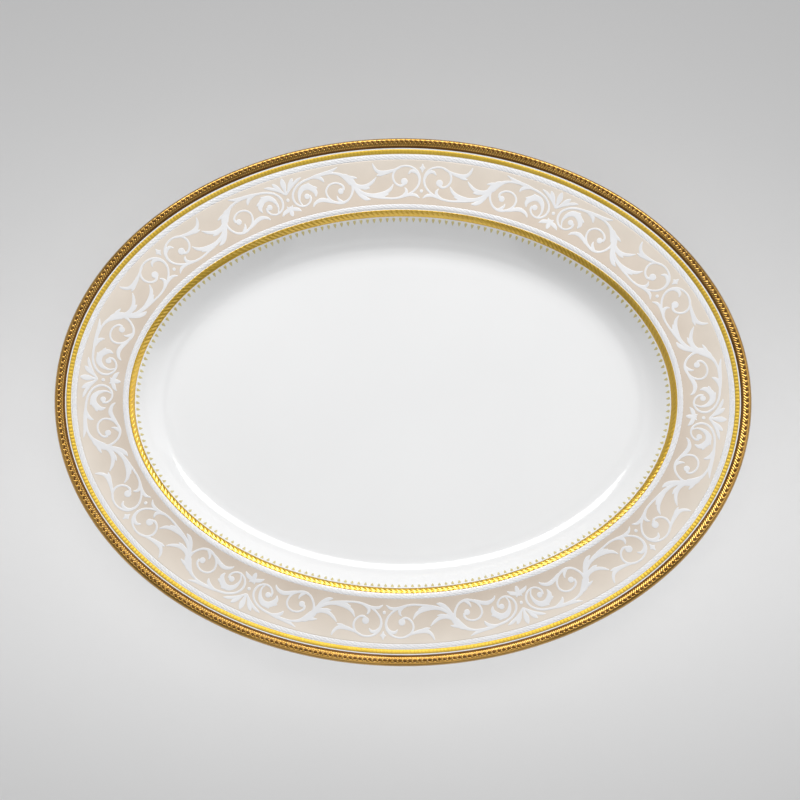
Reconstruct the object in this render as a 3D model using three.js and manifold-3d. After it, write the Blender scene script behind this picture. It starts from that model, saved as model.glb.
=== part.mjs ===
// Oval serving platter in glazed porcelain with applied gold and white-enamel decoration.
//
// Frame: millimetres, +Z up, +X along the long axis. The origin is the centre of the plane
// that the foot ring rests on. Every place on the platter is given as an inward distance d
// from the outermost edge, measured level, and a position along the border. All bands run
// parallel to the edge, so one section is carried round the oval by carryRound().
import * as THREE from 'three';
import { mergeVertices } from 'three/addons/utils/BufferGeometryUtils.js';
import Module from 'manifold-3d';

const wasm = await Module();
wasm.setup();

// ---- Driving dimensions ----
const LENGTH = 360; // over the gold edge, along X
const WIDTH = 280; // over the gold edge, along Y
const HEIGHT = 27; // foot ring to the crest of the gold edge
const ROUND_STEPS = 60; // sections round the oval

const RIM_START = 4.8; // where the dished rim meets the rolled lip
const RIM_LEVEL = 33.5; // where the dished rim has become level
const SHOULDER_START = 35.5; // where it starts to turn down into the well
const WALL_START = 43.5; // end of the shoulder, steepest part of the well wall
const FLOOR_START = 65; // where the wall has become the level floor
// Fall of the face per mm inward at each inward distance, straight lines between them.
const FACE_FALL = [
  [RIM_START, 0.27], [RIM_LEVEL, 0], [SHOULDER_START, 0], [WALL_START, 1.15],
  [48, 0.92], [52, 0.55], [56, 0.26], [60, 0.08], [FLOOR_START, 0],
];
const THICKNESS = 3.4; // porcelain, square to its face
const FLOOR_THICKNESS = 3.2;

const CREST_INSET = 1.9; // crest of the rolled lip, from the edge
const LIP_INSIDE = 3.1; // reach of the roll from its crest inward
const LIP_RISE = 2.45; // lip centre to the crest of the gold
const GOLD_SKIN = 0.45; // thickness of the gold edge layer
const GOLD_MARGIN = 5.5; // inward distance at which the bare rim starts beside the gold
const GAP = 0.3; // clearance between a layer and what it lies on
const LAYER = 0.25; // thickness of each flat band
const RELIEF = 0.4; // height of the enamel ornament

const FOOT_OUTSIDE = 60.4; // foot ring, as inward distances
const FOOT_LAND_OUT = 61.2;
const FOOT_LAND_IN = 63.8;
const FOOT_INSIDE = 64.6;

// Bands of decoration: inward distance of each outer and inner margin.
const BEAD_LINE = [6.3, 8.6];
const OUTER_ROPE = [9, 11.4];
const IVORY_GROUND = [11.7, 35];
const INNER_ROPE = [35.3, 37.5];
const INNER_GOLD = [37.8, 41.4];
const DROP_FRINGE = [41.8, 44.2];

// The border repeats six times, and each repeat is a half unit and its mirror image.
const REPEATS = 6;
const UNIT = 71; // length of a half unit as it is drawn below
const MIDDLE = 26.5; // inward distance at which the border's length is measured
const FIRST_PALMETTE = -9.3; // its place along the border from the +X end

// ---- Materials ----
const finish = (color, roughness, metalness) => {
  return new THREE.MeshStandardMaterial({ color, roughness, metalness });
};
const PORCELAIN = finish('#f2f0ed', 0.12, 0);
const IVORY = finish('#e0d5c6', 0.35, 0);
const ENAMEL = finish('#eef0f6', 0.3, 0);
const GOLD = finish('#cf9f3c', 0.28, 1);

// ---- The oval, and how a section is carried round it ----
const HALF_LENGTH = LENGTH / 2;
const HALF_WIDTH = WIDTH / 2;

// Plan position at ellipse angle a and inward distance d.
function planPoint(a, d) {
  const outward = new THREE.Vector2(Math.cos(a) / HALF_LENGTH, Math.sin(a) / HALF_WIDTH).normalize();
  const edge = new THREE.Vector2(HALF_LENGTH * Math.cos(a), HALF_WIDTH * Math.sin(a));
  return edge.addScaledVector(outward, -d);
}

// Running length of the border at its middle, one entry for each small step of angle.
const ANGLE_STEPS = 1440;
const runningLength = [0];
for (let i = 1; i <= ANGLE_STEPS; i++) {
  const before = planPoint(((i - 1) / ANGLE_STEPS) * 2 * Math.PI, MIDDLE);
  const after = planPoint((i / ANGLE_STEPS) * 2 * Math.PI, MIDDLE);
  runningLength.push(runningLength[i - 1] + after.distanceTo(before));
}
const BORDER_LENGTH = runningLength[ANGLE_STEPS];

// Ellipse angle at a place along the border.
function angleAt(place) {
  const wrapped = ((place % BORDER_LENGTH) + BORDER_LENGTH) % BORDER_LENGTH;
  const next = Math.max(1, runningLength.findIndex((length) => length >= wrapped));
  const span = runningLength[next] - runningLength[next - 1];
  const share = (wrapped - runningLength[next - 1]) / span;
  return ((next - 1 + share) / ANGLE_STEPS) * 2 * Math.PI;
}

// Slope and height of the porcelain face at inward distance d: dished rim, shoulder, hollow
// wall, floor.
const LIP_Z = HEIGHT - LIP_RISE;
const RIM_START_Z = HEIGHT - 1.2;

function faceSlope(d) {
  const next = FACE_FALL.findIndex(([place]) => place > d);
  if (next === -1) return 0;
  if (next === 0) return FACE_FALL[0][1];
  const [[start, before], [end, after]] = FACE_FALL.slice(next - 1, next + 1);
  return before + ((after - before) * (d - start)) / (end - start);
}

function faceHeight(d) {
  let height = RIM_START_Z;
  const places = FACE_FALL.map(([place]) => place);
  for (let k = 1; k < places.length && places[k - 1] < d; k++) {
    const end = Math.min(d, places[k]);
    height -= ((faceSlope(places[k - 1]) + faceSlope(end)) / 2) * (end - places[k - 1]);
  }
  return height;
}
const FLOOR_Z = faceHeight(FLOOR_START);

// ---- Mesh helpers ----
// Keeps positions only, joins shared vertices, drops slivers of no area at the axis, and
// turns the faces outward.
function closedGeometry(geometry) {
  geometry.deleteAttribute('normal');
  geometry.deleteAttribute('uv');
  const merged = mergeVertices(geometry, 1e-4);
  const position = merged.getAttribute('position');
  const corner = (i) => new THREE.Vector3().fromBufferAttribute(position, i);
  const faces = [];
  let volume = 0;
  for (let i = 0; i < merged.index.count; i += 3) {
    const [a, b, c] = [0, 1, 2].map((k) => merged.index.getX(i + k));
    if (a === b || b === c || c === a) continue;
    faces.push([a, b, c]);
    volume += corner(a).dot(corner(b).cross(corner(c)));
  }
  const outward = volume > 0 ? faces : faces.map(([a, b, c]) => [a, c, b]);
  merged.setIndex(outward.flat());
  merged.computeVertexNormals();
  return merged;
}

function toSolid(geometry) {
  const closed = closedGeometry(geometry);
  const vertProperties = new Float32Array(closed.getAttribute('position').array);
  const triVerts = new Uint32Array(closed.index.array);
  return new wasm.Manifold(new wasm.Mesh({ numProp: 3, vertProperties, triVerts }));
}

function fromSolid(solid) {
  const { numProp, vertProperties, triVerts } = solid.getMesh();
  const positions = [];
  for (let i = 0; i < vertProperties.length; i += numProp) {
    positions.push(...vertProperties.slice(i, i + 3));
  }
  const geometry = new THREE.BufferGeometry();
  geometry.setAttribute('position', new THREE.Float32BufferAttribute(positions, 3));
  geometry.setIndex([...triVerts]);
  return geometry;
}

// Turns a section of [d, z] points into a ring or a dish: a lathe makes it round, and each
// round vertex then moves to the oval. Points inside FLOOR_START shrink evenly to the centre.
const LATHE_RADIUS = 100;
const LATHE_FLOOR = LATHE_RADIUS - FLOOR_START;
const CENTRE = LATHE_RADIUS; // the inward distance that stands for the axis

function carryRound(section) {
  const profile = section.map(([d, z]) => new THREE.Vector2(LATHE_RADIUS - d, z));
  const geometry = new THREE.LatheGeometry(profile, ROUND_STEPS);
  const position = geometry.getAttribute('position');
  for (let i = 0; i < position.count; i++) {
    const radius = Math.hypot(position.getX(i), position.getZ(i));
    const turn = Math.atan2(position.getX(i), position.getZ(i)) / (2 * Math.PI);
    const step = Math.round(turn * ROUND_STEPS);
    const a = angleAt((step / ROUND_STEPS) * BORDER_LENGTH);
    const d = Math.min(LATHE_RADIUS - radius, FLOOR_START);
    const point = planPoint(a, d).multiplyScalar(Math.min(1, radius / LATHE_FLOOR));
    position.setXYZ(i, point.x, point.y, position.getY(i));
  }
  return closedGeometry(geometry);
}

const platter = new THREE.Group();

function addPiece(name, geometry, material) {
  const mesh = new THREE.Mesh(geometry, material);
  mesh.name = name;
  platter.add(mesh);
}

// ---- Porcelain body with its foot ring ----
// Point on the rolled lip, grown outward by a margin, at an angle counted from the crest
// towards the outside of the platter.
const LIP_HEIGHT = LIP_RISE - GOLD_SKIN - GAP;
function lipPoint(degrees, margin) {
  const turn = THREE.MathUtils.degToRad(degrees);
  const reach = (turn < 0 ? LIP_INSIDE : CREST_INSET) - GOLD_SKIN - GAP;
  const d = CREST_INSET - (reach + margin) * Math.sin(turn);
  return [d, LIP_Z + (LIP_HEIGHT + margin) * Math.cos(turn)];
}

function range(from, to, steps) {
  return Array.from({ length: steps + 1 }, (_, i) => from + ((to - from) * i) / steps);
}

// Underside point square to the face at d.
function underPoint(d) {
  const slope = faceSlope(d);
  const across = Math.hypot(1, slope);
  return [d - (THICKNESS * slope) / across, faceHeight(d) - THICKNESS / across];
}

function bodySection() {
  const underFloor = FLOOR_Z - FLOOR_THICKNESS;
  return [
    [CENTRE, FLOOR_Z],
    ...range(FLOOR_START, WALL_START, 5).map((d) => [d, faceHeight(d)]),
    ...range(WALL_START, SHOULDER_START, 4).slice(1).map((d) => [d, faceHeight(d)]),
    ...range(SHOULDER_START, GOLD_MARGIN, 6).slice(1).map((d) => [d, faceHeight(d)]),
    ...range(-45, 180, 5).map((degrees) => lipPoint(degrees, 0)),
    ...range(10, SHOULDER_START, 3).map(underPoint),
    ...range(SHOULDER_START + 4, FOOT_OUTSIDE, 4).map(underPoint),
    [FOOT_OUTSIDE + 0.2, 0.8],
    [FOOT_LAND_OUT, 0],
    [FOOT_LAND_IN, 0],
    [FOOT_INSIDE, underFloor],
    [CENTRE, underFloor],
  ];
}
addPiece('porcelain_body', carryRound(bodySection()), PORCELAIN);

// ---- Gold over the lip ----
function edgeGoldSection() {
  const angles = range(-45, 135, 4);
  const outside = angles.map((degrees) => lipPoint(degrees, GAP + GOLD_SKIN));
  const inside = angles.map((degrees) => lipPoint(degrees, GAP)).reverse();
  return [...outside, ...inside, outside[0]];
}
addPiece('edge_gold_band', carryRound(edgeGoldSection()), GOLD);

// ---- Flat bands ----
function bandSection([outer, inner], steps) {
  const places = range(outer, inner, steps);
  const top = places.map((d) => [d, faceHeight(d) + GAP + LAYER]);
  const bottom = places.map((d) => [d, faceHeight(d) + GAP]).reverse();
  return [...top, ...bottom, top[0]];
}
addPiece('gold_bead_line', carryRound(bandSection(BEAD_LINE, 1)), GOLD);
addPiece('outer_rope_border', carryRound(bandSection(OUTER_ROPE, 1)), ENAMEL);
addPiece('ivory_ground_band', carryRound(bandSection(IVORY_GROUND, 5)), IVORY);
addPiece('inner_rope_border', carryRound(bandSection(INNER_ROPE, 1)), ENAMEL);
addPiece('inner_gold_band', carryRound(bandSection(INNER_GOLD, 2)), GOLD);
addPiece('gold_drop_fringe', carryRound(bandSection(DROP_FRINGE, 1)), GOLD);

// ---- Raised enamel ornament ----
// A stroke is a list of [along, inward, width] points. Along runs from a palmette, at 0, to
// the next pair of volutes, at UNIT.
const STEM_STROKES = [
  // from the sheath back over the top and round into the first volute
  [[33.6, 21.5, 2.2], [28.6, 16.4, 1.2], [21.5, 15.3, 0.9], [12, 16, 1], [5, 19.4, 0.9], [2.9, 24, 1],
    [5.6, 28.7, 0.9], [10.7, 28.2, 0.9], [12, 25.6, 1], [11, 24, 1]],
  // sheath down, round and up into the second volute
  [[34.8, 22.6, 1.4], [33.4, 28.6, 1], [28.2, 31.8, 1.2], [22.4, 29.4, 1], [20.7, 24, 0.9], [25.2, 20.8, 0.9],
    [29.4, 22.8, 1], [29, 25, 1]],
  // sheath along the bottom and round into the third volute
  [[35.8, 24.2, 1.4], [42.2, 29.5, 0.9], [51, 31.3, 0.9], [61, 31, 1], [67.6, 27.2, 0.9], [69.8, 21.5, 1.1],
    [66.8, 15.8, 0.9], [60, 15, 0.9], [56, 19.6, 0.9], [58, 24.2, 1], [61, 24.4, 1]],
  // the sheath itself
  [[31, 17.6, 1.6], [34, 20.6, 3], [36.6, 25, 2]],
];
const LEAF_STROKES = [
  [[14, 15.8, 1], [20, 15, 1.8], [25, 14.2, 1.4], [28.3, 12.9, 0.3]],
  [[17, 15.8, 1.6], [20.3, 19.2, 0.4]],
  [[6.8, 29, 0.8], [6.2, 23.6, 1.3], [10, 19.6, 3], [14.4, 21.8, 2.6], [14.7, 25.9, 0.5]],
  [[25.2, 31.2, 1], [20, 29, 2], [15, 28.7, 1.7], [12.2, 31, 0.4]],
  [[28.4, 31.6, 1.2], [25.9, 27.7, 0.3]],
  [[32, 18.8, 2], [37.4, 19.6, 0.3]],
  [[35.2, 22.6, 2], [40.4, 24.7, 2.4], [45, 22.6, 1.5], [47.3, 20.2, 0.3]],
  [[36.6, 25, 1.2], [41.4, 28.6, 1.4], [48.4, 29.4, 2.2], [54.2, 27, 1.6], [56, 24.2, 0.4]],
  [[36.2, 24.8, 1.4], [39.2, 29.8, 2], [43.4, 31.7, 0.5]],
  [[60, 31.2, 1], [62.9, 28.6, 1.5], [62.1, 26, 0.3]],
  [[63, 30.2, 1.2], [70.1, 31.5, 0.3]],
  [[69.7, 21, 1], [67, 17.5, 1.6], [63.8, 18.8, 0.3]],
  [[58.4, 15.9, 1], [50, 17.9, 2.1], [46.6, 15, 1.1], [45.9, 12.8, 0.3]],
];
// The round eye that ends each volute: [along, inward, radius].
const VOLUTE_EYES = [[10.2, 24.7, 1.35], [28.2, 25.5, 1.5], [61.8, 22.8, 1.7]];

const PALMETTE_PETALS = [
  [[0, 21.2, 0.7], [0, 15.6, 2.4], [0, 12.2, 0.5]],
  [[0.2, 20.8, 0.5], [3.3, 16.2, 1.7], [5.2, 13.6, 0.4]],
  [[0.4, 20.8, 0.6], [5.6, 16.1, 1.3], [9.5, 14.3, 0.3]],
];
const FLEURON_LOBES = [
  [[0, 28, 0.8], [0, 31.2, 2], [0, 32.9, 0.5]],
  [[0, 29, 1.4], [5.2, 31.4, 0.5]],
  [[0.2, 29.4, 0.8], [1.4, 26.6, 0.4]],
];
const PEARL = [0, 24, 0.8];
const LOZENGE = [UNIT, 15.5, 2.1]; // the last value is half its height
const LOZENGE_HALF_WIDTH = 1.3;
const SMALL_PEARL = [UNIT, 27.6, 0.8];
const EYE_SIDES = 6;

function raise(shape) {
  return new THREE.ExtrudeGeometry(shape, { depth: RELIEF, steps: 1, bevelEnabled: false });
}

function strokeSolid(stroke) {
  const places = stroke.map((point) => new THREE.Vector3(...point));
  const spine = new THREE.CatmullRomCurve3(places, false, 'centripetal');
  const left = [];
  const right = [];
  for (const t of range(0, 1, stroke.length - 1)) {
    const point = spine.getPoint(t);
    const tangent = spine.getTangent(t);
    const across = new THREE.Vector2(-tangent.y, tangent.x).setLength(point.z / 2);
    left.push(new THREE.Vector2(point.x + across.x, point.y + across.y));
    right.unshift(new THREE.Vector2(point.x - across.x, point.y - across.y));
  }
  return toSolid(raise(new THREE.Shape([...left, ...right])));
}

function discShape([along, inward, radius]) {
  const circle = new THREE.EllipseCurve(along, inward, radius, radius);
  return new THREE.Shape(circle.getPoints(EYE_SIDES).slice(1));
}

const joinAll = (solids) => solids.reduce((whole, solid) => whole.add(solid));

// Bends a flat piece of ornament onto the rim. Positions along the border count from the
// palmette of the given half unit, and odd half units run backwards.
const REST_ON_GROUND = 2 * GAP + LAYER;
const UNIT_STRETCH = BORDER_LENGTH / (2 * REPEATS) / UNIT;

function bendOntoRim(geometry, halfUnit) {
  const bent = geometry.clone();
  const palmette = FIRST_PALMETTE + Math.ceil(halfUnit / 2) * 2 * UNIT * UNIT_STRETCH;
  const direction = halfUnit % 2 === 0 ? 1 : -1;
  const position = bent.getAttribute('position');
  for (let i = 0; i < position.count; i++) {
    const d = position.getY(i);
    const a = angleAt(palmette + direction * position.getX(i) * UNIT_STRETCH);
    const point = planPoint(a, d);
    position.setXYZ(i, point.x, point.y, faceHeight(d) + REST_ON_GROUND + position.getZ(i));
  }
  return closedGeometry(bent);
}

const flip = (stroke) => stroke.map(([along, inward, width]) => [-along, inward, width]);
const mirrored = (strokes) => strokes.flatMap((stroke) => [stroke, flip(stroke)]);

const scroll = fromSolid(
  joinAll([
    ...STEM_STROKES.map(strokeSolid),
    ...LEAF_STROKES.map(strokeSolid),
    ...VOLUTE_EYES.map((eye) => toSolid(raise(discShape(eye)))),
  ]),
);
const palmette = fromSolid(joinAll(mirrored(PALMETTE_PETALS).map(strokeSolid)));
const fleuron = fromSolid(joinAll(mirrored(FLEURON_LOBES).map(strokeSolid)));
const pearl = raise(discShape(PEARL));
const smallPearl = raise(discShape(SMALL_PEARL));
const [lozengeAlong, lozengeInward, lozengeHalfHeight] = LOZENGE;
const lozenge = raise(
  new THREE.Shape([
    new THREE.Vector2(lozengeAlong, lozengeInward - lozengeHalfHeight),
    new THREE.Vector2(lozengeAlong + LOZENGE_HALF_WIDTH, lozengeInward),
    new THREE.Vector2(lozengeAlong, lozengeInward + lozengeHalfHeight),
    new THREE.Vector2(lozengeAlong - LOZENGE_HALF_WIDTH, lozengeInward),
  ]),
);

for (let repeat = 0; repeat < REPEATS; repeat++) {
  const number = repeat + 1;
  addPiece(`scroll_forward_${number}`, bendOntoRim(scroll, 2 * repeat), ENAMEL);
  addPiece(`scroll_backward_${number}`, bendOntoRim(scroll, 2 * repeat + 1), ENAMEL);
  addPiece(`palmette_${number}`, bendOntoRim(palmette, 2 * repeat), ENAMEL);
  addPiece(`palmette_pearl_${number}`, bendOntoRim(pearl, 2 * repeat), ENAMEL);
  addPiece(`fleuron_${number}`, bendOntoRim(fleuron, 2 * repeat), ENAMEL);
  addPiece(`lozenge_${number}`, bendOntoRim(lozenge, 2 * repeat), ENAMEL);
  addPiece(`small_pearl_${number}`, bendOntoRim(smallPearl, 2 * repeat), ENAMEL);
}

export default platter;
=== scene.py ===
"""Oval china serving platter: the fine surface and the looks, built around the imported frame.

Shapes are worked out in millimetres and become metres when a mesh is made. A place on the
platter is an inward distance d from the outermost edge, measured level, and a position along
the border. All bands run parallel to the edge.
"""
import math

import bpy
import numpy as np
from mathutils import Matrix, Vector


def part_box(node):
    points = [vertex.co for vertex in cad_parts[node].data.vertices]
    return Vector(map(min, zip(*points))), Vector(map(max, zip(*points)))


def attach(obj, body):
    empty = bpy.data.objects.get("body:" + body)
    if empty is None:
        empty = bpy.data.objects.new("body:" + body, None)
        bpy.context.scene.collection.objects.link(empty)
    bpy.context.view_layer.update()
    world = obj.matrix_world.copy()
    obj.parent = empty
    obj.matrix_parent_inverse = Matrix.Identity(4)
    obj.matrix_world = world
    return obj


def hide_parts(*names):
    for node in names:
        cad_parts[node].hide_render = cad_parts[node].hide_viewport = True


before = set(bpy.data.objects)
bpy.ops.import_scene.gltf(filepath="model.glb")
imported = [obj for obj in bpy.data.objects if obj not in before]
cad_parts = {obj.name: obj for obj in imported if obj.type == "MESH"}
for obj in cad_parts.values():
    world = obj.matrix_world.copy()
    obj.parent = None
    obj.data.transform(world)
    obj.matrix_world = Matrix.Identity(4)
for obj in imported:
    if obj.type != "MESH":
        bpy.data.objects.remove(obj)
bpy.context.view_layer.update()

# ---- Driving dimensions, in millimetres, from the frame where it holds them ----
MM = 0.001
edge_low, edge_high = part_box("edge_gold_band")
HALF_LENGTH = (edge_high.x - edge_low.x) / 2 / MM
HALF_WIDTH = (edge_high.y - edge_low.y) / 2 / MM
HEIGHT = edge_high.z / MM

RIM_START = 4.8
RIM_LEVEL = 33.5
SHOULDER_START = 35.5
WALL_START = 43.5
FLOOR_START = 65.0
THICKNESS = 3.4
FLOOR_THICKNESS = 3.2
RIM_START_Z = HEIGHT - 1.2

# Fall of the face per millimetre inward at each inward distance: dished rim, shoulder, well.
FALL_AT = (RIM_START, RIM_LEVEL, SHOULDER_START, WALL_START, 48, 52, 56, 60, FLOOR_START)
FALL = (0.27, 0, 0, 1.15, 0.92, 0.55, 0.26, 0.08, 0)

# The rolled lip: two quarter ellipses that share a crest.
CREST_INSET = 1.9
LIP_INSIDE = 3.1
LIP_RISE = 2.45
LIP_Z = HEIGHT - LIP_RISE
GOLD_SKIN = 0.25

FOOT_OUTSIDE = 60.4
FOOT_LAND_OUT = 61.2
FOOT_LAND_IN = 63.8
FOOT_INSIDE = 64.6

BEAD_LINE = (6.15, 8.58)
OUTER_ROPE = (9.05, 11.45)
IVORY_GROUND = (11.2, 35.5)
INNER_ROPE = (35.0, 37.5)
INNER_GOLD = (38.0, 41.2)
DROP_FRINGE = (41.8, 43.6)

# Counts round the whole border.
REPEATS = 6
EDGE_NOTCHES = 372
BEADS = 504
OUTER_STRANDS = 282
INNER_STRANDS = 228
INNER_GOLD_STRANDS = 288
DROPS = 216

UNIT = 71.0
MIDDLE = 26.5
FIRST_PALMETTE = -9.3

ORNAMENT_INSET = 0.2  # added to every inward distance of the drawn ornament
GROUND_THICKNESS = 0.08
RELIEF = 0.14
DRAWN_RELIEF = 0.42  # strokes are drawn this high, melted together, and then flattened
SPREAD = 0.22  # how much wider than drawn a stroke of paste lies


# ---- The oval ----
def plan(angle, d):
    """Plan position at ellipse angle and inward distance d, both arrays."""
    nx = np.cos(angle) / HALF_LENGTH
    ny = np.sin(angle) / HALF_WIDTH
    size = np.hypot(nx, ny)
    x = HALF_LENGTH * np.cos(angle) - d * nx / size
    y = HALF_WIDTH * np.sin(angle) - d * ny / size
    return x, y


FINE_ANGLES = np.linspace(0, 2 * math.pi, 14401)
_x, _y = plan(FINE_ANGLES, MIDDLE)
RUNNING_LENGTH = np.concatenate([[0], np.cumsum(np.hypot(np.diff(_x), np.diff(_y)))])
BORDER_LENGTH = RUNNING_LENGTH[-1]


def angle_at(place):
    return np.interp(np.mod(place, BORDER_LENGTH), RUNNING_LENGTH, FINE_ANGLES)


def face_slope(d):
    return np.interp(d, FALL_AT, FALL)


FINE_D = np.linspace(RIM_START, FLOOR_START, 6021)
_steps = (face_slope(FINE_D[1:]) + face_slope(FINE_D[:-1])) / 2 * np.diff(FINE_D)
FINE_HEIGHT = RIM_START_Z - np.concatenate([[0], np.cumsum(_steps)])
FLOOR_Z = float(FINE_HEIGHT[-1])


def face_height(d):
    return np.interp(d, FINE_D, FINE_HEIGHT)


# ---- Mesh making ----
# The collections are lighting groups: each lamp lights one of them. The gold lip is also in EDGE.
PLATTER = bpy.data.collections.new("platter")
STAGE = bpy.data.collections.new("stage")
EDGE = bpy.data.collections.new("edge")
bpy.context.scene.collection.children.link(PLATTER)
bpy.context.scene.collection.children.link(STAGE)
PLATTER.children.link(EDGE)


def make_object(name, vertices, faces, material):
    """A smooth-shaded object from vertices in millimetres, its faces turned outward."""
    vertices = np.asarray(vertices, float)
    mesh = bpy.data.meshes.new(name)
    mesh.from_pydata((vertices * MM).tolist(), [], [list(face) for face in faces])
    mesh.calc_loop_triangles()
    corners = np.empty(len(mesh.loop_triangles) * 3, int)
    mesh.loop_triangles.foreach_get("vertices", corners)
    a, b, c = np.moveaxis(vertices[corners.reshape(-1, 3)], 1, 0)
    if np.einsum("ij,ij->i", a, np.cross(b, c)).sum() < 0:
        mesh.flip_normals()
    mesh.shade_smooth()
    mesh.update()
    piece = bpy.data.objects.new(name, mesh)
    PLATTER.objects.link(piece)
    piece.data.materials.append(material)
    return piece


def grid_faces(rows, columns, close_rows, close_columns):
    """Quads of a grid of vertices, row by row, optionally closed either way."""
    i = np.arange(rows if close_rows else rows - 1)
    j = np.arange(columns if close_columns else columns - 1)
    i, j = np.meshgrid(i, j, indexing="ij")
    i2, j2 = (i + 1) % rows, (j + 1) % columns
    quads = np.stack([i * columns + j, i2 * columns + j, i2 * columns + j2, i * columns + j2], -1)
    return quads.reshape(-1, 4).tolist()


def carry_round(place, d, z):
    """Vertices of a section (columns) carried round the oval (rows)."""
    x, y = plan(angle_at(place)[:, None], d)
    return np.stack([x, y, np.broadcast_to(z, x.shape)], -1).reshape(-1, 3)


def stations(count):
    return np.arange(count) / count * BORDER_LENGTH


def ring_angles(shares, d):
    """Ellipse angles at shares of the length of the ring at inward distance d."""
    turn = np.linspace(0, 2 * math.pi, 2881)
    x, y = plan(turn, d)
    run = np.concatenate([[0], np.cumsum(np.hypot(np.diff(x), np.diff(y)))])
    return np.interp(np.mod(shares, 1), run / run[-1], turn)


def finish_piece(piece, slot, *nodes):
    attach(piece, "root")
    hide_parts(*nodes)


# ---- Materials ----
def new_material(name):
    material = bpy.data.materials.new(name)
    material.use_nodes = True
    nodes = material.node_tree.nodes
    return material, nodes, material.node_tree.links, nodes["Principled BSDF"]


def object_noise(nodes, links, scale, detail):
    coordinates = nodes.new("ShaderNodeTexCoord")
    noise = nodes.new("ShaderNodeTexNoise")
    noise.inputs["Scale"].default_value = scale
    noise.inputs["Detail"].default_value = detail
    links.new(coordinates.outputs["Object"], noise.inputs["Vector"])
    return noise.outputs["Fac"]


def colour_between(nodes, links, factor, low, high, start=0.35, stop=0.65):
    ramp = nodes.new("ShaderNodeValToRGB")
    ramp.color_ramp.elements[0].position = start
    ramp.color_ramp.elements[0].color = (*low, 1)
    ramp.color_ramp.elements[1].position = stop
    ramp.color_ramp.elements[1].color = (*high, 1)
    links.new(factor, ramp.inputs["Fac"])
    return ramp.outputs["Color"]


def value_between(nodes, links, factor, low, high):
    spread = nodes.new("ShaderNodeMapRange")
    spread.inputs["From Min"].default_value = 0.3
    spread.inputs["From Max"].default_value = 0.7
    spread.inputs["To Min"].default_value = low
    spread.inputs["To Max"].default_value = high
    links.new(factor, spread.inputs["Value"])
    return spread.outputs["Result"]


def add_bump(nodes, links, shader, height, strength, distance):
    bump = nodes.new("ShaderNodeBump")
    bump.inputs["Strength"].default_value = strength
    bump.inputs["Distance"].default_value = distance
    links.new(height, bump.inputs["Height"])
    links.new(bump.outputs["Normal"], shader.inputs["Normal"])


def make_finish(name, low, high, roughness, scale, bump, metallic=0.0, coat=0.0, coat_ior=1.5):
    """A finish whose colour, roughness and surface all vary gently."""
    material, nodes, links, shader = new_material(name)
    cloud = object_noise(nodes, links, scale[0], 4)
    grain = object_noise(nodes, links, scale[1], 3)
    links.new(colour_between(nodes, links, cloud, low, high), shader.inputs["Base Color"])
    links.new(value_between(nodes, links, grain, *roughness), shader.inputs["Roughness"])
    add_bump(nodes, links, shader, grain, *bump)
    shader.inputs["Metallic"].default_value = metallic
    shader.inputs["Coat Weight"].default_value = coat
    shader.inputs["Coat Roughness"].default_value = 0.04
    shader.inputs["Coat IOR"].default_value = coat_ior
    return material


PORCELAIN = make_finish(
    "porcelain_glaze", (0.835, 0.838, 0.841), (0.855, 0.858, 0.861),
    (0.12, 0.2), (9, 260), (0.05, 0.00002), coat=0.4,
)
IVORY_SHADE = "inward"  # mesh attribute: 0 at the outer margin of the ivory ground, 1 at the inner


def make_ivory():
    """Satin ground whose colour is mixed darker from its outer margin towards the well."""
    material, nodes, links, shader = new_material("ivory_ground")
    place = nodes.new("ShaderNodeAttribute")
    place.attribute_name = IVORY_SHADE
    cloud = object_noise(nodes, links, 60, 4)
    grain = object_noise(nodes, links, 1500, 3)
    outer = colour_between(nodes, links, cloud, (0.735, 0.662, 0.575), (0.775, 0.697, 0.61))
    inner = colour_between(nodes, links, cloud, (0.625, 0.53, 0.44), (0.665, 0.57, 0.475))
    mix = nodes.new("ShaderNodeMix")
    mix.data_type = "RGBA"
    links.new(place.outputs["Fac"], mix.inputs["Factor"])
    links.new(outer, mix.inputs["A"])
    links.new(inner, mix.inputs["B"])
    links.new(mix.outputs["Result"], shader.inputs["Base Color"])
    links.new(value_between(nodes, links, grain, 0.38, 0.5), shader.inputs["Roughness"])
    add_bump(nodes, links, shader, grain, 0.12, 0.00004)
    shader.inputs["Coat Weight"].default_value = 0.15
    shader.inputs["Coat Roughness"].default_value = 0.1
    return material


IVORY = make_ivory()
ENAMEL = make_finish(
    "white_enamel", (0.78, 0.78, 0.795), (0.82, 0.82, 0.83),
    (0.3, 0.42), (80, 1400), (0.12, 0.00004), coat=0.15,
)
BEAD_GOLD = make_finish(
    "bead_gold", (0.65, 0.44, 0.06), (0.70, 0.49, 0.08),
    (0.48, 0.6), (70, 1800), (0.2, 0.00003), metallic=1.0,
)
BAR_GOLD = make_finish(
    "bar_gold", (0.66, 0.40, 0.024), (0.72, 0.46, 0.036), (0.3, 0.38), (70, 1800), (0.2, 0.00003),
    metallic=1.0, coat=0.8, coat_ior=1.8,
)
PALE_GOLD = make_finish(
    "pale_gold", (0.62, 0.53, 0.22), (0.70, 0.61, 0.28), (0.42, 0.52), (70, 1800), (0.2, 0.00003),
    metallic=0.3, coat=0.5, coat_ior=1.8,
)
EDGE_GOLD = make_finish(
    "edge_gold", (0.46, 0.25, 0.042), (0.54, 0.305, 0.06), (0.14, 0.22), (60, 1600), (0.2, 0.00003),
    metallic=1.0, coat=0.5, coat_ior=1.6,
)
# Near-black gold that paints the shade in the notch hollows and along the groove at the lip's inner foot.
PAINTED_SHADE_GOLD = make_finish(
    "painted_shade_gold", (0.13, 0.06, 0.015), (0.18, 0.085, 0.024),
    (0.5, 0.65), (60, 1600), (0.3, 0.00003), metallic=1.0,
)


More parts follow.
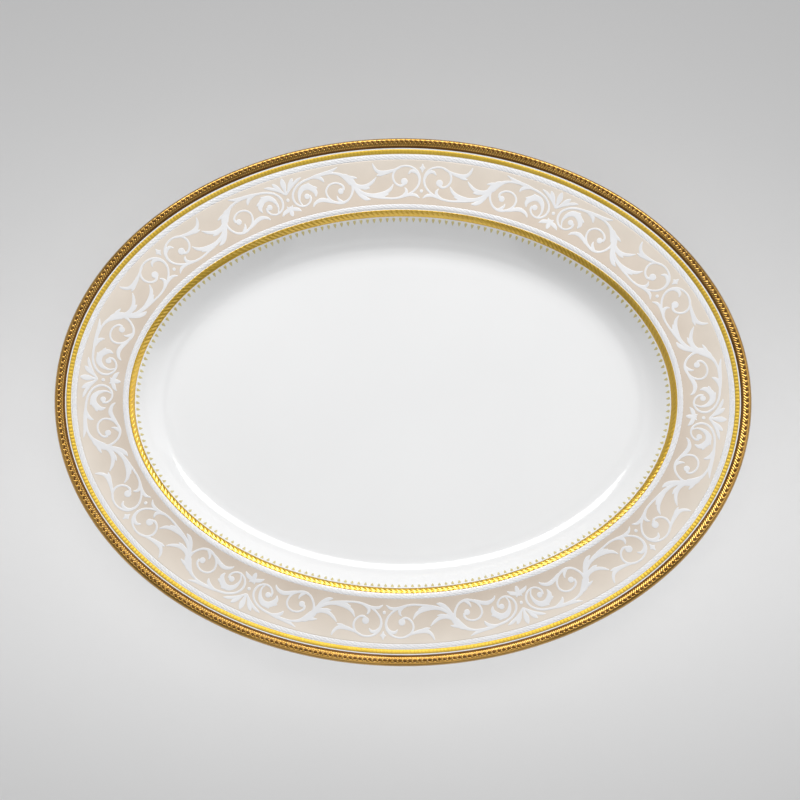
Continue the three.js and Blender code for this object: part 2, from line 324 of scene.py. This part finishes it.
# ---- Porcelain body ----
def lip_point(degrees, shrink):
    """Point on the lip, by angle from the crest towards the outside; negative is inside."""
    turn = np.radians(np.asarray(degrees, float))
    reach = np.where(turn < 0, LIP_INSIDE, CREST_INSET) - shrink
    return CREST_INSET - reach * np.sin(turn), LIP_Z + (LIP_RISE - shrink) * np.cos(turn)


def under_point(d):
    slope = face_slope(d)
    across = np.hypot(1, slope)
    return d - THICKNESS * slope / across, face_height(d) - THICKNESS / across


def arc(centre, radius, start, stop, steps):
    turn = np.radians(np.linspace(start, stop, steps))
    return centre[0] + radius * np.cos(turn), centre[1] + radius * np.sin(turn)


def body_section():
    """The closed outline of the china from the floor's edge, over the lip, to under the floor."""
    under_floor = FLOOR_Z - FLOOR_THICKNESS
    round_off = 0.6
    well = np.linspace(FLOOR_START + 1, SHOULDER_START, 70)
    rim = np.linspace(SHOULDER_START, RIM_START + 0.25, 32)[1:]
    lip = lip_point(np.linspace(-52, 175, 30), GOLD_SKIN)
    back = under_point(np.linspace(8, FOOT_OUTSIDE - 1, 60))
    parts = [
        (well, face_height(well)),
        (rim, face_height(rim)),
        lip,
        back,
        (np.array([FOOT_OUTSIDE + 0.1]), np.array([1.2])),
        arc((FOOT_LAND_OUT + 0.3, round_off), round_off, 180, 270, 6),
        arc((FOOT_LAND_IN - 0.3, round_off), round_off, 270, 360, 6),
        (np.array([FOOT_INSIDE, FOOT_INSIDE + 0.8]), np.array([under_floor - 0.15, under_floor])),
    ]
    return np.concatenate([p[0] for p in parts]), np.concatenate([p[1] for p in parts])


def make_body():
    d, z = body_section()
    rows, columns = 480, len(d)
    ring = carry_round(stations(rows), np.broadcast_to(d, (rows, columns)), z)
    faces = grid_faces(rows, columns, True, False)
    vertices = [ring]
    count = len(ring)
    for column, level in ((0, FLOOR_Z), (columns - 1, float(z[-1]))):
        previous = np.arange(rows) * columns + column
        outline = ring[previous]
        for share in (0.8, 0.6, 0.4, 0.2):
            vertices.append(outline * [share, share, 0] + [0, 0, level])
            current = count + np.arange(rows)
            count += rows
            quads = np.stack([previous, np.roll(previous, -1), np.roll(current, -1), current], -1)
            faces += (quads if column else quads[:, ::-1]).tolist()
            previous = current
        vertices.append(np.array([[0, 0, level]]))
        fan = np.stack([previous, np.roll(previous, -1), np.full(rows, count)], -1)
        faces += (fan if column else fan[:, ::-1]).tolist()
        count += 1
    body = make_object("platter_body", np.concatenate(vertices), faces, PORCELAIN)
    finish_piece(body, "porcelain", "porcelain_body")


make_body()


# ---- Gold over the rolled lip ----
# Angles on the lip are in degrees from its crest: positive outwards, negative inwards.
NOTCH_DEPTH = 0.38
NOTCH_CENTRE = -9
NOTCH_REACH = 17  # half its extent across the lip, in degrees
NOTCH_LEAN = 0.006  # share of a pitch per degree
NOTCH_HALF_WIDTH = 0.38  # share of a pitch, at the notch's centre
NOTCH_FLARE = 0.08  # how much wider it is at its outer end
# Depth under the lip of the dark shell that paints the shade in the notches.
RECESS_DEPTH = 0.2
RIB_DEPTH = 0.26
RIBS_PER_NOTCH = 2
RIB_TURN = 34  # degrees across the lip in which a rib leans by its own pitch
RIB_SHARPNESS = 1.5
ROWS_PER_NOTCH = 14


def lip_ring(name, outside, inside, outer_shrink, inner_shrink, cut, rows, material):
    """A shell over the lip between two depths, its outer side cut by an array of depths."""
    turn = np.concatenate([outside, inside])
    shrink = np.concatenate([np.full(len(outside), outer_shrink), np.full(len(inside), inner_shrink)])
    depth = np.broadcast_to(shrink, (rows, len(turn))).copy()
    depth[:, : len(outside)] += cut
    reach = np.where(turn < 0, LIP_INSIDE, CREST_INSET)
    d = CREST_INSET - (reach - depth) * np.sin(np.radians(turn))
    z = LIP_Z + (LIP_RISE - depth) * np.cos(np.radians(turn))
    vertices = carry_round(stations(rows), d, z)
    piece = make_object(name, vertices, grid_faces(rows, len(turn), True, True), material)
    EDGE.objects.link(piece)
    finish_piece(piece, "edge_gold", "edge_gold_band")


def fade_in(value, start, length):
    """0 up to start, then rising evenly to 1 over length."""
    return np.clip((value - start) / length, 0, 1)


def make_edge_gold():
    """The gold lip, with leaning ribs over its inner half and a row of notches along its crest."""
    rows = EDGE_NOTCHES * ROWS_PER_NOTCH
    crown = np.concatenate([np.linspace(-60, -52, 2), np.linspace(-48, 32, 20), np.linspace(50, 150, 5)])
    phase = ((np.arange(rows) % ROWS_PER_NOTCH) / ROWS_PER_NOTCH)[:, None]
    t = crown[None, :]
    from_centre = t - NOTCH_CENTRE
    across = from_centre / NOTCH_REACH
    along = (phase - 0.5 - NOTCH_LEAN * from_centre) / (NOTCH_HALF_WIDTH + NOTCH_FLARE * across)
    notch = np.clip(1 - across**2 - along**2, 0, None) ** 0.5
    rib = (0.5 + 0.5 * np.cos(2 * math.pi * (RIBS_PER_NOTCH * phase + t / RIB_TURN))) ** RIB_SHARPNESS
    window = fade_in(t, -52, 6) * fade_in(-t, 4, 10)
    cut = np.maximum(NOTCH_DEPTH * notch, RIB_DEPTH * rib * window)
    lip_ring("gold_lip", crown, np.linspace(150, -58, 4), 0, GOLD_SKIN + 0.15, cut, rows, EDGE_GOLD)
    # A dark shell under the crest shows through the notches: painted shade in their hollows.
    span = np.linspace(-48, 10, 13)
    lip_ring("painted_notch_shade", span, span[::-2], RECESS_DEPTH, RECESS_DEPTH + 0.12, 0, 480, PAINTED_SHADE_GOLD)


def make_painted_groove_shadow():
    """A thin dark line where the gold lip meets the rim: painted shadow along the groove there."""
    d = np.array([4.3, 4.5, 4.8, 5.55, 5.55, 4.4])
    z = RIM_START_Z + np.array([0.25, 0.16, 0.08, -0.13, -0.3, -0.1])
    rows = 480
    vertices = carry_round(stations(rows), np.broadcast_to(d, (rows, len(d))), z)
    piece = make_object("painted_groove_shadow", vertices, grid_faces(rows, len(d), True, True), PAINTED_SHADE_GOLD)
    finish_piece(piece, "edge_gold", "edge_gold_band")


make_edge_gold()
make_painted_groove_shadow()


# ---- Bands ----
def make_band(name, node, slot, band, rows, columns, height, material, sink=0.12):
    """A band whose upper side stands height(x, share) above the porcelain.

    x runs from -1 to 1 across the band and share from 0 to 1 round the oval. Gives back the
    piece and the inward distance of each of its vertices.
    """
    x = np.linspace(-1, 1, columns)
    middle, half = (band[0] + band[1]) / 2, (band[1] - band[0]) / 2
    share = np.arange(rows) / rows
    d_top = middle + half * x
    d_bottom = d_top[::-1][[0, columns // 2, columns - 1]]
    d = np.broadcast_to(np.concatenate([d_top, d_bottom]), (rows, columns + 3))
    top = face_height(d_top)[None, :] + height(x[None, :], share[:, None])
    bottom = np.broadcast_to(face_height(d_bottom) - sink, (rows, 3))
    px, py = plan(ring_angles(share, middle)[:, None], d)
    vertices = np.stack([px, py, np.concatenate([top, bottom], 1)], -1).reshape(-1, 3)
    piece = make_object(name, vertices, grid_faces(rows, columns + 3, True, True), material)
    finish_piece(piece, slot, node)
    return piece, d


def shade_inward(piece, d, band):
    """Stores on each vertex how far across the band it lies, from 0 outside to 1 inside."""
    shade = piece.data.attributes.new(IVORY_SHADE, "FLOAT", "POINT")
    shade.data.foreach_set("value", ((d - band[0]) / (band[1] - band[0])).ravel())


ROPE_HEIGHT = 0.32
STRAND_LEAN = 0.6  # strands by which a strand leans over half the band
STRAND_DEPTH = 0.26
BEAD_LINE_HEIGHT = 0.14
BEAD_RISE = 0.16
BAR_HEIGHT = 0.12
BAR_CROWN = 0.08
TWIST_DEPTH = 0.2
TWIST_LEAN = 0.9


def bell(offset, width):
    return np.exp(-((offset / width) ** 2))


def edge_round(x, power=6):
    return np.clip(1 - np.abs(x) ** power, 0, 1) ** 0.5


def strands(count):
    """Height of a rope with that many leaning strands round the border."""

    def surface(x, share):
        phase = np.mod(share * count + STRAND_LEAN * np.sin(x * math.pi / 2), 1)
        groove = bell(phase - 0.5, 0.16)
        fine = bell(np.minimum(phase, 1 - phase), 0.1)
        return edge_round(x, 3) * (ROPE_HEIGHT - STRAND_DEPTH * (groove + 0.7 * fine))

    return surface


def beads(x, share):
    phase = np.mod(share * BEADS, 1) * 2 - 1
    dome = np.clip(1 - (x / 0.9) ** 2 - (phase / 0.95) ** 2, 0, 1) ** 0.5
    return BEAD_LINE_HEIGHT * edge_round(x) + BEAD_RISE * dome


def ivory_surface(x, share):
    return GROUND_THICKNESS * edge_round(x, 60) + 0 * share


def twisted_bar(x, share):
    phase = np.mod(share * INNER_GOLD_STRANDS + TWIST_LEAN * x, 1)
    ridge = bell(phase - 0.5, 0.22) * (1 - 0.5 * np.abs(x))
    return edge_round(x, 8) * (BAR_HEIGHT + BAR_CROWN * (1 - x**2) + TWIST_DEPTH * ridge)


make_band("beaded_gold_line", "gold_bead_line", "bright_gold", BEAD_LINE, BEADS * 8, 11, beads, BEAD_GOLD)
make_band(
    "outer_rope", "outer_rope_border", "white_enamel", OUTER_ROPE, OUTER_STRANDS * 16, 13,
    strands(OUTER_STRANDS), ENAMEL,
)
ivory_band, ivory_inward = make_band(
    "ivory_band", "ivory_ground_band", "ivory_ground", IVORY_GROUND, 720, 41, ivory_surface, IVORY
)
shade_inward(ivory_band, ivory_inward, IVORY_GROUND)
make_band(
    "inner_rope", "inner_rope_border", "white_enamel", INNER_ROPE, INNER_STRANDS * 16, 13,
    strands(INNER_STRANDS), ENAMEL,
)
make_band(
    "twisted_gold_bar", "inner_gold_band", "bright_gold", INNER_GOLD, INNER_GOLD_STRANDS * 10, 17,
    twisted_bar, BAR_GOLD,
)


# ---- Strokes of raised paste ----
def smooth_through(points, steps):
    """Centripetal Catmull-Rom curve through the points, steps to each stretch."""
    p = np.asarray(points, float)
    p = np.concatenate([[2 * p[0] - p[1]], p, [2 * p[-1] - p[-2]]])
    knots = np.concatenate([[0], np.cumsum(np.sqrt(np.hypot(*np.diff(p[:, :2], axis=0).T)))])
    curve = []
    for k in range(1, len(p) - 2):
        t0, t1, t2, t3 = knots[k - 1 : k + 3]
        last = k == len(p) - 3
        t = np.linspace(t1, t2, steps + 1)[: None if last else -1, None]
        a1 = (t1 - t) / (t1 - t0) * p[k - 1] + (t - t0) / (t1 - t0) * p[k]
        a2 = (t2 - t) / (t2 - t1) * p[k] + (t - t1) / (t2 - t1) * p[k + 1]
        a3 = (t3 - t) / (t3 - t2) * p[k + 1] + (t - t2) / (t3 - t2) * p[k + 2]
        b1 = (t2 - t) / (t2 - t0) * a1 + (t - t0) / (t2 - t0) * a2
        b2 = (t3 - t) / (t3 - t1) * a2 + (t - t1) / (t3 - t1) * a3
        curve.append((t2 - t) / (t2 - t1) * b1 + (t - t1) / (t2 - t1) * b2)
    return np.concatenate(curve)


SINK = 0.2  # how far a stroke reaches below the surface that carries it


def stroke_mesh(points, steps=8, relief=DRAWN_RELIEF, spread=SPREAD):
    """A domed stroke through [along, inward, width] points: flat vertices and faces."""
    spine = smooth_through(points, steps)
    tangent = np.gradient(spine[:, :2], axis=0)
    tangent /= np.hypot(*tangent.T)[:, None]
    normal = np.stack([-tangent[:, 1], tangent[:, 0]], -1)
    half = spine[:, 2:3] / 2 + spread / 2
    turn = np.radians(np.linspace(0, 180, 9))
    rise = relief * np.clip(half / 0.5, 0.35, 1.0) ** 0.6
    across = np.concatenate([np.cos(turn), [-1, 1]])
    lift = np.concatenate([np.sin(turn) ** 0.6, [0, 0]])
    drop = np.concatenate([np.zeros(len(turn)), [SINK, SINK]])
    plan_points = spine[:, None, :2] + normal[:, None, :] * (half * across[None, :])[:, :, None]
    height = rise * lift[None, :] - drop[None, :]
    vertices = np.concatenate([plan_points, height[:, :, None]], -1)
    rows, columns = height.shape
    faces = grid_faces(rows, columns, False, True)
    faces.append(list(range(columns)))
    faces.append([(rows - 1) * columns + k for k in reversed(range(columns))])
    return vertices.reshape(-1, 3), faces


def eye_stroke(along, inward, radius):
    """A round boss, as a stroke as wide as the circle is at each point."""
    turn = np.radians(np.linspace(172, 8, 12))
    return [[along + radius * math.cos(t), inward, 2 * radius * math.sin(t)] for t in turn]


def joined(meshes):
    vertices, faces, count = [], [], 0
    for mesh_vertices, mesh_faces in meshes:
        vertices.append(mesh_vertices)
        faces += [[count + k for k in face] for face in mesh_faces]
        count += len(mesh_vertices)
    return np.concatenate(vertices), faces


VOXEL = 0.1
MELT_STEPS = 3


def melted(vertices, faces, keep):
    """Joins overlapping strokes into one body with softened creases, at a share of its faces."""
    mesh = bpy.data.meshes.new("melt")
    mesh.from_pydata(vertices.tolist(), [], faces)
    lump = bpy.data.objects.new("melt", mesh)
    bpy.context.scene.collection.objects.link(lump)
    remesh = lump.modifiers.new("remesh", "REMESH")
    remesh.mode = "VOXEL"
    remesh.voxel_size = VOXEL
    soften = lump.modifiers.new("soften", "SMOOTH")
    soften.factor = 0.5
    soften.iterations = MELT_STEPS
    thin_out = lump.modifiers.new("thin_out", "DECIMATE")
    thin_out.ratio = keep
    result = bpy.data.meshes.new_from_object(lump.evaluated_get(bpy.context.evaluated_depsgraph_get()))
    flat = np.empty(len(result.vertices) * 3)
    result.vertices.foreach_get("co", flat)
    out_faces = [list(polygon.vertices) for polygon in result.polygons]
    bpy.data.objects.remove(lump)
    bpy.data.meshes.remove(mesh)
    bpy.data.meshes.remove(result)
    return flat.reshape(-1, 3), out_faces


STEMS = [
    # from the sheath back over the top and round into the first volute
    [[34.2, 22.4, 2.2], [32.0, 19.3, 2.2], [29.2, 16.8, 1.5], [25.5, 15.5, 0.95], [21.5, 15.3, 0.9],
     [17, 15.5, 1], [12.6, 16, 1.05], [9, 16.9, 1], [5.8, 18.7, 0.95], [3.6, 21.3, 0.95], [2.9, 24, 1],
     [3.6, 26.8, 0.95], [5.6, 28.8, 0.9], [8.2, 29.4, 0.85], [10.6, 28.4, 0.85], [11.95, 26.4, 0.95],
     [11.7, 24.4, 1.1]],
    # sheath down, round and up into the second volute
    [[35.0, 22.6, 1.6], [34.6, 25.6, 1.1], [33.5, 28.3, 0.95], [31.4, 30.7, 1.05], [28.4, 31.8, 1.25],
     [25.2, 31.3, 1.2], [22.4, 29.5, 1], [20.8, 26.8, 0.9], [20.7, 23.9, 0.85], [22.4, 21.6, 0.85],
     [25.2, 20.7, 0.85], [28, 21.4, 0.85], [29.8, 23.2, 0.95], [29.7, 25.2, 1.1]],
    # sheath along the bottom and round into the third volute
    [[35.4, 23.4, 1.6], [36.6, 25.4, 1.1], [39.2, 27.8, 0.9], [42.6, 29.7, 0.9], [46.5, 30.7, 1],
     [51, 31.4, 0.95], [56, 31.8, 0.95], [60.4, 31.1, 1.1], [64.4, 29.5, 1], [67.4, 27.2, 0.9],
     [69.3, 24.4, 0.95], [69.8, 21.4, 1.1], [69, 18.2, 1], [66.8, 15.8, 0.9], [63.4, 14.6, 0.85],
     [60, 15, 0.9], [57.2, 16.9, 0.9], [56, 19.7, 0.9], [56.5, 22.5, 0.9], [58.3, 24.5, 0.95],
     [60.2, 25, 1.1], [61.6, 24.2, 1.3]],
    # the sheath itself
    [[30.8, 17.5, 1.4], [32.6, 19, 2.6], [34.4, 21.2, 3.1], [35.6, 23.6, 2.6], [36.6, 25.4, 1.4]],
]
LEAVES = [
    [[13, 15.9, 0.8], [17, 15.4, 1.6], [21.5, 14.8, 1.6], [25.2, 14.1, 1.35], [28.3, 12.8, 0.25]],
    [[15.8, 15.7, 1.3], [18.3, 16.5, 1.75], [19.7, 17.8, 1.35], [20.4, 19.3, 0.3]],
    [[6.9, 28.9, 0.5], [5.9, 26.4, 0.75], [6.2, 23.9, 1.3], [7.3, 21.6, 2.1], [9.4, 19.9, 2.8],
     [11.9, 19.9, 3], [14, 21.5, 2.7], [15.1, 23.7, 1.9], [14.7, 26, 0.3]],
    [[9.2, 20, 1.8], [11.4, 18.9, 1.5], [13, 18.1, 0.3]],
    [[13, 21, 2.2], [15, 21.1, 1.6], [16.4, 21.5, 0.3]],
    [[25.2, 31.3, 1], [22.5, 30.3, 1.5], [19.8, 29, 1.95], [17.2, 28.3, 2.1], [14.9, 28.7, 1.6],
     [13.1, 29.8, 1.1], [12.2, 31.1, 0.3]],
    [[28.6, 31.4, 0.9], [26.9, 30.3, 1.4], [26.1, 29.1, 1], [25.8, 27.6, 0.25]],
    [[31.2, 18.2, 1.6], [33.6, 18.9, 1.8], [35.6, 19.2, 1.3], [37.5, 19.7, 0.25]],
    [[30, 17.2, 1.2], [32, 17.5, 1], [33.8, 18.3, 0.25]],
    [[33.6, 21.6, 2], [35.6, 23, 2.1], [37.8, 24.3, 2.2], [40.6, 24.7, 2.3], [43.2, 23.8, 1.7],
     [45.5, 22.2, 1.3], [47.4, 20.1, 0.25]],
    [[38.6, 24.7, 1.4], [41.4, 25.5, 1.5], [43.7, 25.6, 0.25]],
    [[34.8, 23.2, 1.6], [36.6, 25, 1.1], [38.8, 27, 1], [41.6, 28.6, 1.2], [45, 29.5, 1.6],
     [48.5, 29.4, 2], [51.8, 28.5, 1.9], [54.4, 26.8, 1.5], [56.1, 24.1, 0.25]],
    [[47.4, 29.9, 1.2], [50.6, 30.1, 1.3], [53.4, 29.3, 0.25]],
    [[35, 23.4, 1.6], [36.2, 25.6, 1.5], [37.7, 28, 1.8], [39.5, 30, 2], [41.5, 31.2, 1.8],
     [43.5, 31.8, 0.35]],
    [[59.6, 31.2, 1], [61.6, 30.3, 1.5], [62.9, 28.8, 1.6], [62.9, 27.2, 1.1], [62, 25.9, 0.25]],
    [[61.6, 30.8, 0.9], [64.8, 29.9, 1.3], [67.8, 29.9, 1.4], [70.2, 31.5, 0.25]],
    [[69.8, 21.6, 0.9], [69, 19, 1.3], [67.3, 17.5, 1.6], [65.3, 17.3, 1.4], [63.8, 18.9, 0.25]],
    [[60, 15.1, 0.9], [57.8, 16.2, 1], [55.4, 17.1, 1.4], [52.6, 17.8, 2], [49.9, 17.9, 2.2],
     [47.8, 16.7, 1.5], [46.6, 14.9, 1.1], [45.9, 12.7, 0.25]],
    [[52, 18.2, 1.4], [49.6, 19, 1.3], [47.6, 19.2, 0.25]],
]
EYES = [[10.2, 24.7, 1.4], [28.2, 25.5, 1.5], [61.8, 22.8, 1.75]]

PETALS = [
    [[0, 21.3, 0.6], [0, 18.8, 1.2], [0, 15.8, 2.5], [0, 13.8, 2], [0, 12.2, 0.4]],
    [[0.3, 21, 0.5], [1.9, 18.6, 1], [3.3, 16.3, 1.8], [4.4, 14.7, 1.6], [5.2, 13.5, 0.3]],
    [[0.5, 20.8, 0.5], [3, 18.3, 0.9], [5.6, 16.2, 1.4], [7.8, 15, 1.25], [9.6, 14.3, 0.25]],
]
LOBES = [
    [[0, 27.6, 0.9], [0, 29.4, 1.7], [0, 31.2, 2.2], [0, 32.6, 1.2], [0, 33.1, 0.4]],
    [[0.1, 28.9, 1.3], [1.8, 29.4, 1.9], [3.6, 30.1, 1.8], [4.9, 31.1, 0.7], [5.3, 31.6, 0.3]],
    [[0.3, 29.2, 0.8], [1.1, 28.1, 0.8], [1.45, 27.2, 0.35]],
]
PEARL = [0, 24, 0.85]
SMALL_PEARL = [UNIT, 27.6, 0.85]
LOZENGE = [
    [[UNIT, 13.2, 0.25], [UNIT, 14.3, 0.9], [UNIT, 15.0, 1.9], [UNIT, 15.5, 3.0], [UNIT, 16.0, 1.9],
     [UNIT, 16.7, 0.9], [UNIT, 17.8, 0.25]],
]

UNIT_STRETCH = BORDER_LENGTH / (2 * REPEATS) / UNIT


def bend_onto_rim(vertices, half_unit):
    """Lays flat ornament on the rim. Odd half units run backwards from the next palmette."""
    palmette = FIRST_PALMETTE + math.ceil(half_unit / 2) * 2 * UNIT * UNIT_STRETCH
    direction = 1 if half_unit % 2 == 0 else -1
    along, d, height = vertices.T
    d = d + ORNAMENT_INSET
    x, y = plan(angle_at(palmette + direction * along * UNIT_STRETCH), d)
    return np.stack([x, y, face_height(d) + GROUND_THICKNESS + height], -1)


def mirrored(strokes):
    return strokes + [[[-along, inward, width] for along, inward, width in stroke] for stroke in strokes]


def ornament(strokes, keep):
    vertices, faces = melted(*joined([stroke_mesh(stroke) for stroke in strokes]), keep)
    return vertices * [1, 1, RELIEF / DRAWN_RELIEF], faces


scroll = ornament(STEMS + LEAVES + [eye_stroke(*eye) for eye in EYES], 0.12)
palmette = ornament(mirrored(PETALS), 0.2)
fleuron = ornament(mirrored(LOBES), 0.2)
pearl = ornament([eye_stroke(*PEARL)], 0.6)
small_pearl = ornament([eye_stroke(*SMALL_PEARL)], 0.6)
lozenge = ornament(LOZENGE, 0.6)

for repeat in range(REPEATS):
    number = repeat + 1
    for node, (vertices, faces), half_unit in (
        ("scroll_forward", scroll, 2 * repeat),
        ("scroll_backward", scroll, 2 * repeat + 1),
        ("palmette", palmette, 2 * repeat),
        ("palmette_pearl", pearl, 2 * repeat),
        ("fleuron", fleuron, 2 * repeat),
        ("lozenge", lozenge, 2 * repeat),
        ("small_pearl", small_pearl, 2 * repeat),
    ):
        piece = make_object(f"{node}_relief_{number}", bend_onto_rim(vertices, half_unit), faces, ENAMEL)
        finish_piece(piece, "white_enamel", f"{node}_{number}")


# ---- Fringe of gold drops ----
SMALL_TURN = 0.001  # for the direction of the border at a drop


def make_drops():
    outer, inner = DROP_FRINGE
    outline = ((0, 1.3), (0.4, 1.5), (0.85, 1.25), (1.35, 0.7), (inner - outer, 0.2))
    shape = [[0, outer + reach, width] for reach, width in outline]
    flat, faces = stroke_mesh(shape, steps=3, relief=RELIEF, spread=0)
    drops = []
    for k in range(DROPS):
        base = ring_angles((k + 0.5) / DROPS, outer)
        x, y = plan(base, flat[:, 1])
        edge_x, edge_y = plan(base + SMALL_TURN, outer)
        here_x, here_y = plan(base, outer)
        step = math.hypot(edge_x - here_x, edge_y - here_y)
        x = x + flat[:, 0] * (edge_x - here_x) / step
        y = y + flat[:, 0] * (edge_y - here_y) / step
        drops.append((np.stack([x, y, face_height(flat[:, 1]) + flat[:, 2]], -1), faces))
    piece = make_object("gold_drops", *joined(drops), PALE_GOLD)
    finish_piece(piece, "bright_gold", "gold_drop_fringe")


make_drops()


# ---- Stage, lights and camera ----
CAMERA_DISTANCE = 1.875
CAMERA_LEAN = 13.2  # degrees from straight above, towards the near side
CAMERA_ROLL = 0.0037  # radians
CAMERA_AIM = (-1.57, -1.7)  # where on the rim's level it looks, in millimetres
CAMERA_SENSOR = 36
CAMERA_LENS = 163.6

# name, compass and zenith in degrees, distance and size in metres, power in watts, what it lights, what
# casts shadows in it (None: everything)
SOFTBOXES = (
    ("key_softbox", 88, 50, 1.15, (1.28, 0.43), 11.4, PLATTER, None),
    ("overhead_softbox", 90, 0, 2, (1.2, 1.2), 2.6, PLATTER, None),
    ("right_softbox", 12, 60, 2, (2.0, 2.0), 11, PLATTER, None),
    ("left_softbox", 172, 70, 2, (2.4, 2.4), 6, PLATTER, None),
    ("front_softbox", -90, 60, 2, (1.6, 1.6), 6.3, PLATTER, None),
    ("edge_softbox", 90, 84, 1.6, (1.4, 0.2), 2.2, EDGE, None),
    ("floor_softbox", 90, 0, 1.6, (3, 3), 17, STAGE, STAGE),
    ("floor_pool_softbox", -90, 16, 0.22, (0.6, 0.12), 0.5, STAGE, STAGE),
)


def make_floor():
    half = 3.0
    corners = [(-half, -half, 0), (half, -half, 0), (half, half, 0), (-half, half, 0)]
    mesh = bpy.data.meshes.new("floor")
    mesh.from_pydata(corners, [], [(0, 1, 2, 3)])
    floor = bpy.data.objects.new("floor", mesh)
    STAGE.objects.link(floor)
    finish = make_finish(
        "pale_floor", (0.71, 0.71, 0.712), (0.73, 0.73, 0.732), (0.65, 0.75), (3, 300), (0.1, 0.00005)
    )
    floor.data.materials.append(finish)


def make_softbox(name, compass, zenith, distance, size, power, lit, blocked_by):
    """A rectangular area light aimed at the platter, placed by its angles in degrees."""
    light = bpy.data.lights.new(name, "AREA")
    light.shape = "RECTANGLE"
    light.size, light.size_y = size
    light.energy = power
    lamp = bpy.data.objects.new(name, light)
    turn, lean = math.radians(compass), math.radians(zenith)
    towards = Vector((math.sin(lean) * math.cos(turn), math.sin(lean) * math.sin(turn), math.cos(lean)))
    lamp.location = towards * distance
    lamp.rotation_euler = towards.to_track_quat("Z", "Y").to_euler()
    lamp.visible_camera = False
    lamp.light_linking.receiver_collection = lit
    lamp.light_linking.blocker_collection = blocked_by
    bpy.context.scene.collection.objects.link(lamp)


def make_camera():
    """Above the platter, leaning 13 degrees towards the near side, as in the photograph."""
    target = Vector((*CAMERA_AIM, HEIGHT)) * MM
    camera = bpy.data.cameras.new("camera")
    camera.sensor_width = CAMERA_SENSOR
    camera.lens = CAMERA_LENS
    holder = bpy.data.objects.new("camera", camera)
    turn = Matrix.Rotation(math.radians(CAMERA_LEAN), 4, "X") @ Matrix.Rotation(CAMERA_ROLL, 4, "Z")
    holder.matrix_world = Matrix.Translation(target) @ turn @ Matrix.Translation((0, 0, CAMERA_DISTANCE))
    bpy.context.scene.collection.objects.link(holder)
    bpy.context.scene.camera = holder


def make_world(strength):
    world = bpy.data.worlds.new("studio")
    world.use_nodes = True
    background = world.node_tree.nodes["Background"]
    background.inputs["Color"].default_value = (1, 1, 1, 1)
    background.inputs["Strength"].default_value = strength
    bpy.context.scene.world = world


make_floor()
make_world(0.27)
for softbox in SOFTBOXES:
    make_softbox(*softbox)
make_camera()
bpy.context.scene.view_settings.view_transform = "Standard"
